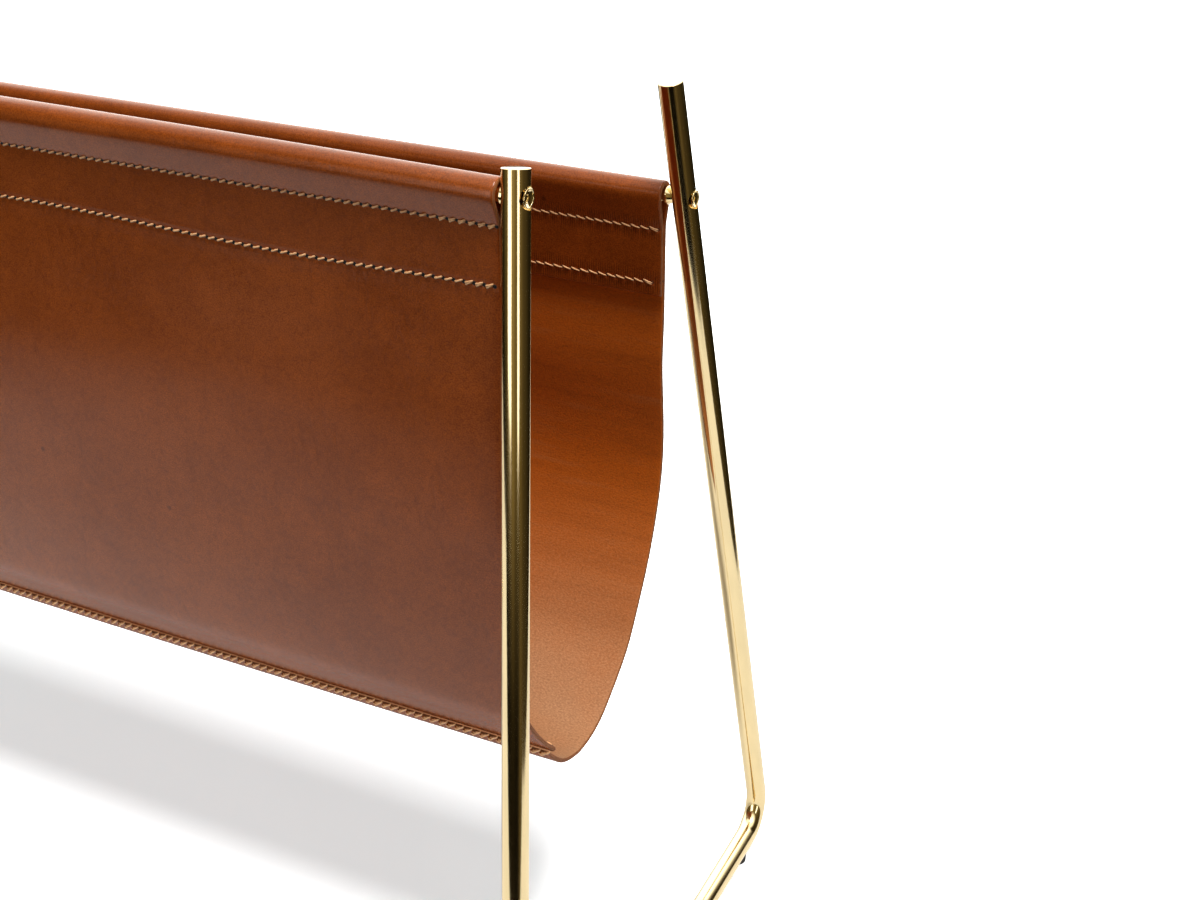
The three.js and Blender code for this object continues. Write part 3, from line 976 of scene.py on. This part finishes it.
class Panel:
    """One leather panel: the line it follows, its rows of stitches and its surface."""

    def __init__(self, sling, rod, hang, flap, trim, skive=0.0):
        self.sling, self.rod, self.skive = sling, rod, skive
        self.side = dict(RODS)[rod]
        line = panel_line(sling, rod, hang, PINCH[rod] * MM, flap)
        self.line = line[:len(line) - int(round(trim / LINE_STEP))]
        steps = np.linalg.norm(np.diff(self.line, axis=0), axis=1)
        self.run = np.r_[0, np.cumsum(steps)]
        tangents = np.gradient(self.line, axis=0)
        self.tangents = tangents / np.linalg.norm(tangents, axis=1)[:, None]
        self.normals = np.column_stack([self.tangents[:, 1], -self.tangents[:, 0]]) * -self.side
        self.rows = []

    def place_at(self, run):
        """Point, outward normal and direction of the line at a distance along it."""
        return [np.array([np.interp(run, self.run, table[:, axis]) for axis in range(2)])
                for table in (self.line, self.normals, self.tangents)]

    def thinned(self, run):
        """Share of the outer half of the thickness that is left where the edge is pared down."""
        if not self.skive:
            return 1.0
        return 1 - 1.6 * float(eased(run, self.run[-1] - self.skive, self.run[-1]))

    def mark_row(self, depth, pitch):
        """Adds a row at a depth below the rod, on both layers, and returns their distances along the line."""
        height = centre(f"{self.rod}_rod").z - depth
        top = int(np.argmax(self.line[:, 1]))
        flap = float(np.interp(height, self.line[:top, 1], self.run[:top]))
        below = slice(top, top + int(round(80 * MM / LINE_STEP)))
        outer = float(np.interp(-height, -self.line[below, 1], self.run[below]))
        self.rows += [(flap, 1, pitch), (outer, -1, pitch)]
        return flap, outer

    def stations(self):
        """Distances along the line: close together in the sleeve, wider below it."""
        turn_round_rod = 26 * MM
        sleeve = 2 * self.sling.flap + turn_round_rod
        runs = [run for k, run in enumerate(self.run) if k % (2 if run < sleeve else 5) == 0]
        edge = self.sling.rounding
        return [run for run in runs if edge < run < self.run[-1] - edge]

    def build(self, name, materials):
        """The leather as loops round its thickness, one for each station along the line."""
        sling = self.sling
        half, soft = sling.thickness / 2, sling.rounding
        reach = sling.width / 2
        columns = np.linspace(-reach + soft, reach - soft, int(sling.width / sling.column))
        turns = [math.radians(degrees) for degrees in (22, 45, 67, 90)]
        corner = [(soft * math.sin(turn), half - soft * (1 - math.cos(turn))) for turn in turns]
        loop = [(x, half) for x in columns]
        loop += [(reach - soft + out, rest) for out, rest in corner]
        loop += [(reach - soft + out, -rest) for out, rest in reversed(corner)]
        loop += [(x, -half) for x in columns[::-1]]
        loop += [(-reach + soft - out, -rest) for out, rest in corner]
        loop += [(-reach + soft - out, rest) for out, rest in reversed(corner)]
        around, count, bend = len(loop), len(columns), 2 * len(corner)
        rounding = [OUTER, OUTER, EDGE, EDGE, EDGE, EDGE, EDGE, INNER, INNER]
        segment = [OUTER] * (count - 1) + rounding + [INNER] * (count - 1) + rounding[::-1]
        ends = [(soft * (1 - math.sin(turn)), (half - soft * (1 - math.cos(turn))) / half)
                for turn in reversed(turns)]
        stations = ends + [(run, 1.0) for run in self.stations()]
        stations += [(self.run[-1] - run, scale) for run, scale in reversed(ends)]
        vertices, hide, seam = [], [], []
        for run, scale in stations:
            point, normal, _ = self.place_at(run)
            normal = normal / np.linalg.norm(normal)
            thin = self.thinned(run)
            row, up, pitch = min(self.rows, key=lambda mark: abs(mark[0] - run))
            off = (run - row) * up
            near = 1.0 if abs(off) < MARK_REACH else 0.0
            for x, t in loop:
                vertices.append((x, *(point + normal * t * scale * (thin if t > 0 else 1))))
                hide.append((x, run, t))
                seam.append((x / pitch, off, near))
        faces = ring_faces(len(stations), around)
        slots = segment * (len(stations) - 1)
        for base, flip in ((0, True), ((len(stations) - 1) * around, False)):
            under = [base + 2 * count + bend - 1 - k for k in range(count)]
            caps = [(base + k, base + k + 1, under[k + 1], under[k]) for k in range(count - 1)]
            for corner_top in (count - 1, 2 * count + bend - 1):
                caps.append(tuple(base + (corner_top + k) % around for k in range(bend + 2)))
            faces += [tuple(reversed(cap)) if flip else cap for cap in caps]
            slots += [EDGE] * len(caps)
        piece = add_piece(
            name, drape(sling, vertices), faces, materials, slots, {"hide": hide, "seam": seam}, sharp=50,
        )
        face_out(piece)
        return piece


class Thread:
    """A run of stitches gathered into one mesh."""

    def __init__(self, stitches, sling):
        self.stitches, self.sling = stitches, sling
        self.vertices, self.faces, self.grain = [], [], []
        self.rng = random.Random(11)

    def row(self, face, pitch, lean, stretch, doubled, shift=0.0, bulk=1.0):
        """Stitches along a row, the outermost doubled. Face is (point, outward, upward), each as (y, z)."""
        stitches, rng = self.stitches, self.rng
        reach = self.sling.width / 2 - stitches.margin
        last = int(reach / pitch) - 1
        for k in range(-last - 1, last + 1):
            x = (k + 0.5 + shift) * pitch
            slant = stitches.slant * lean * rng.uniform(0.85, 1.2)
            run = pitch * stretch * rng.uniform(0.96, 1.04)
            thick = stitches.thread / 2 * bulk * rng.uniform(0.93, 1.07)
            if min(k + last + 1, last - k) < doubled:
                self.stitch(face, x, run, slant, thick * 0.95, 0.24 * MM)
                self.stitch(face, x, run * 0.9, slant * 1.5, thick * 0.95, -0.26 * MM)
            else:
                self.stitch(face, x, run, slant, thick, 0.0)

    def stitch(self, face, x, run, slant, thick, lift):
        """One lump of twisted thread whose ends dive into the leather."""
        point, outward, upward = face
        sides, steps, lobes, twist = 8, 9, 0.17, 4.6
        base = len(self.vertices)
        for step in range(steps):
            u = 2 * step / (steps - 1) - 1
            dome = math.sqrt(max(1 - u * u, 0))
            stand = thick * (0.9 * dome - 0.5 * abs(u) ** 7)
            size = thick * (0.4 + 0.6 * dome)
            across = x + u * run / 2 * math.cos(slant)
            up = lift + u * run / 2 * math.sin(slant)
            for k in range(sides):
                turn = 2 * math.pi * k / sides
                lobe = 1 + lobes * math.cos(2 * turn - twist * u)
                rise, out = math.sin(turn) * size * lobe, stand + math.cos(turn) * size * lobe * 0.85
                y = point[0] + upward[0] * (up + rise) + outward[0] * out
                z = point[1] + upward[1] * (up + rise) + outward[1] * out
                self.vertices.append((across - rise * math.sin(slant), y, z))
                # The second value, the height round the thread, places the thread's painted light and shade
                self.grain.append((x + u * run / 2, math.sin(turn), math.cos(turn)))
        self.faces += [tuple(base + corner for corner in quad) for quad in ring_faces(steps, sides)]
        self.faces.append(tuple(base + k for k in reversed(range(sides))))
        self.faces.append(tuple(base + (steps - 1) * sides + k for k in range(sides)))

    def sew(self, name, material, node):
        """All stitches so far as one piece that stands for its node."""
        piece = add_piece(
            name, drape(self.sling, self.vertices), self.faces, [material], attributes={"grain": self.grain},
            sharp=80,
        )
        face_out(piece)
        settle(piece, node)
        return piece


class BASKET_OT_sling(bpy.types.Operator):
    """Two leather panels with sewn sleeves and a lapped bottom seam"""
    bl_idname = "basket.sling"
    bl_label = "Leather sling"

    def execute(self, context):
        basket = context.scene.basket
        sling, stitches, finishes = basket.sling, basket.stitches, basket.finishes
        leather = [outer_leather(finishes, sling), cut_leather(finishes), inner_leather(finishes)]
        thread = waxed_thread(finishes)
        front = Panel(sling, "front", FRONT_HANG, sling.flap, stitches.front_trim)
        rear = Panel(sling, "rear", REAR_HANG, sling.rear_flap, stitches.trim, stitches.skive)
        sewn = {"front": [], "rear": []}
        for panel in (front, rear):
            for row, (depth, pitch) in ROWS[panel.rod].items():
                runs = panel.mark_row(depth * MM, pitch * MM)
                sewn[panel.rod].append(self.sleeve_row(panel, row, runs, pitch * MM, stitches, thread))
        sewn["rear"].append(self.lap_row(front, rear, stitches, thread))
        for panel in (front, rear):
            piece = panel.build(f"{panel.rod}_leather", leather)
            settle(piece, f"{panel.rod}_panel")
            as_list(sewn[panel.rod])
        return {"FINISHED"}

    def sleeve_row(self, panel, row, runs, pitch, stitches, thread):
        """A sleeve's row of stitches, which shows on its flap and outside."""
        made = Thread(stitches, panel.sling)
        half = panel.sling.thickness / 2
        # The flap's stitches, then the outer ones, as (lean, length in pitches, doubled, bulk)
        kinds = ((-0.8, 1.04, 1, 0.86), (1.1, 0.88, DOUBLED[row], 1.0))
        for run, (lean, stretch, doubled, bulk) in zip(runs, kinds):
            point, normal, _ = panel.place_at(run)
            made.row((point + normal * half, normal, (0, 1)), pitch, lean, stretch, doubled, bulk=bulk)
        return made.sew(f"{panel.rod}_{row}_stitches", thread, f"{panel.rod}_{row}_thread")

    def lap_row(self, front, rear, stitches, thread):
        """The bottom seam: twisted strands over the pared edge outside and one row inside."""
        made = Thread(stitches, rear.sling)
        half, pitch = rear.sling.thickness / 2, stitches.pitch
        for inset, shift in LAP_STRANDS:
            run = rear.run[-1] - inset * MM
            point, normal, along = rear.place_at(run)
            face = (point + normal * half * rear.thinned(run), normal, along)
            made.row(face, pitch, lean=1.8, stretch=1.0, doubled=0, shift=shift, bulk=1.3)
        near = int(np.argmin(np.linalg.norm(front.line - point, axis=1)))
        front.rows.append((float(front.run[near]), 1, pitch))
        point, normal, along = front.place_at(front.run[near])
        made.row((point - normal * half, -normal, -along), pitch, lean=-1, stretch=1.0, doubled=1)
        return made.sew("bottom_seam_stitches", thread, "bottom_seam_thread")


class BASKET_OT_stage(bpy.types.Operator):
    """Pale floor, soft studio light and the camera"""
    bl_idname = "basket.stage"
    bl_label = "Stage"

    def execute(self, context):
        basket = context.scene.basket
        stage, finishes = basket.stage, basket.finishes
        corners = [(FLOOR_REACH * x, FLOOR_REACH * y) for x, y in ((-1, -1), (1, -1), (1, 1), (-1, 1))]
        white = glowing_white(finishes, "studio_floor", *FLOOR_WHITE, FLOOR_TINT)
        floor = self.sheet_at("floor", 0, corners, white)
        white = glowing_white(finishes, "backdrop_white", *BACKDROP_WHITE)
        backdrop = self.dome("backdrop", BACKDROP_RADIUS, white)
        for piece in (floor, backdrop):
            piece.visible_diffuse = piece.visible_glossy = piece.visible_shadow = False
        right = Vector((math.cos(stage.yaw), math.sin(stage.yaw)))
        ahead = Vector((-right.y, right.x))
        half, front = stage.table / 2, -stage.table_front
        edge = half - stage.table_cut
        corners = [right * x + ahead * y
                   for x, y in ((-half, front), (edge, front), (edge, half), (-half, half))]
        white = glowing_white(finishes, "table_top", *TABLE_WHITE)
        table = self.sheet_at("table_top", -0.2 * MM, corners, white)
        walls = self.dome("studio_walls", ROOM_RADIUS, dim_room(finishes))
        walls.visible_diffuse = walls.visible_shadow = walls.visible_transmission = False
        table.visible_camera = walls.visible_camera = False
        self.camera(context.scene, stage)
        self.ambient(context.scene, stage)
        sky = self.light("overhead_sky", "SUN", OVERHEAD_PLACE, OVERHEAD_AIM, stage.sky)
        sky.angle = stage.sky_width
        for side, place, width in SOFTBOXES:
            power = getattr(stage, f"{side}_box")
            lamp = self.light(f"{side}_softbox", "AREA", place, SOFTBOX_AIM, power)
            lamp.shape = "RECTANGLE"
            lamp.size, lamp.size_y = width, SOFTBOX_HEIGHT
            self.card(f"{side}_softbox_face", place, width, finishes)
        return {"FINISHED"}

    def sheet_at(self, name, height, corners, material):
        """A level sheet at a height above the floor."""
        vertices = [(*corner[:2], height) for corner in corners]
        piece = add_piece(name, vertices, [range(len(corners))], [material])
        piece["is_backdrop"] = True
        return piece

    def card(self, name, place, width, finishes):
        """The bright face of a softbox, which only reflections show."""
        place, target = Vector(place), Vector(SOFTBOX_AIM)
        towards = (target - place).normalized()
        across = towards.cross(Z_AXIS).normalized()
        up = across.cross(towards)
        corners = [place + towards * 0.02 + across * width / 2 * x + up * SOFTBOX_HEIGHT / 2 * y
                   for x, y in ((-1, -1), (1, -1), (1, 1), (-1, 1))]
        piece = add_piece(name, corners, [(0, 1, 2, 3)], [glowing_white(finishes, name, *SOFTBOX_WHITE)])
        piece.visible_camera = piece.visible_diffuse = piece.visible_shadow = False
        piece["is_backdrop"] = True

    def dome(self, name, reach, material):
        """A ball of surroundings with open poles."""
        rings, sides = 24, 48
        vertices = []
        for ring in range(1, rings):
            tilt = math.pi * ring / rings
            for k in range(sides):
                turn = 2 * math.pi * k / sides
                spoke = math.sin(tilt) * math.cos(turn), math.sin(tilt) * math.sin(turn), math.cos(tilt)
                vertices.append(scaled(spoke, reach))
        piece = add_piece(name, vertices, ring_faces(rings - 1, sides), [material])
        piece.location = rod_leg(bpy.context.scene.basket.bars, "front", 1)
        piece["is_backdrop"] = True
        return piece

    def camera(self, scene, stage):
        """The camera at the photograph's viewing angle."""
        camera = bpy.data.objects.new("camera", bpy.data.cameras.new("camera"))
        camera.location = stage.camera
        camera.rotation_euler = (math.pi / 2 - stage.pitch, 0, stage.yaw)
        camera.data.lens = stage.lens
        camera.data.sensor_width = 36
        camera.data.sensor_fit = "HORIZONTAL"
        camera.data.clip_start = 0.01
        scene.collection.objects.link(camera)
        scene.camera = camera
        scene.view_settings.view_transform = "Standard"
        scene.view_settings.look = "Medium High Contrast"

    def ambient(self, scene, stage):
        """Faint light from all round, which reflections don't show."""
        world = bpy.data.worlds.new("studio")
        world.use_nodes = True
        background = world.node_tree.nodes["Background"]
        background.inputs["Color"].default_value = (1, 1, 1, 1)
        background.inputs["Strength"].default_value = stage.ambient
        world.cycles_visibility.glossy = False
        scene.world = world

    def light(self, name, kind, place, target, power):
        """A lamp that faces its target. Only the overhead light shows in reflections."""
        light = bpy.data.lights.new(name, kind)
        light.energy = power
        lamp = bpy.data.objects.new(name, light)
        lamp.location = place
        lamp.rotation_euler = (Vector(target) - Vector(place)).to_track_quat("-Z", "Y").to_euler()
        lamp.visible_glossy = kind == "SUN"
        bpy.context.scene.collection.objects.link(lamp)
        return light


class BASKET_PT_panel(bpy.types.Panel):
    """Lists the basket's sizes, finishes and steps"""
    bl_idname = "BASKET_PT_panel"
    bl_label = "Magazine basket"
    bl_space_type = "VIEW_3D"
    bl_region_type = "UI"
    bl_category = "Basket"

    def draw(self, context):
        basket = context.scene.basket
        for group in ("bars", "fixings", "sling", "stitches", "finishes", "stage"):
            box = self.layout.box()
            box.label(text=group.title())
            settings = getattr(basket, group)
            for name in settings.__annotations__:
                box.prop(settings, name)
        for operator in OPERATORS:
            self.layout.operator(operator.bl_idname)


SETTINGS = (
    BarSettings, FixingSettings, SlingSettings, StitchSettings, FinishSettings, StageSettings, BasketSettings,
)
OPERATORS = (
    BASKET_OT_stage, BASKET_OT_end_frames, BASKET_OT_fixings, BASKET_OT_floor_pads, BASKET_OT_sling,
)
CLASSES = (*SETTINGS, *OPERATORS, BASKET_PT_panel)


def register():
    for cls in CLASSES:
        bpy.utils.register_class(cls)
    bpy.types.Scene.basket = PointerProperty(type=BasketSettings)


def unregister():
    del bpy.types.Scene.basket
    for cls in reversed(CLASSES):
        bpy.utils.unregister_class(cls)


def main():
    """Builds the basket."""
    register()
    bpy.ops.basket.stage()
    bpy.ops.basket.end_frames()
    bpy.ops.basket.fixings()
    bpy.ops.basket.floor_pads()
    bpy.ops.basket.sling()
    sizes = {"cad": CAD_BOX, "visual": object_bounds()}
    {key: [list(low), list(high)] for key, (low, high) in sizes.items()}


if __name__ == "__main__":
    main()
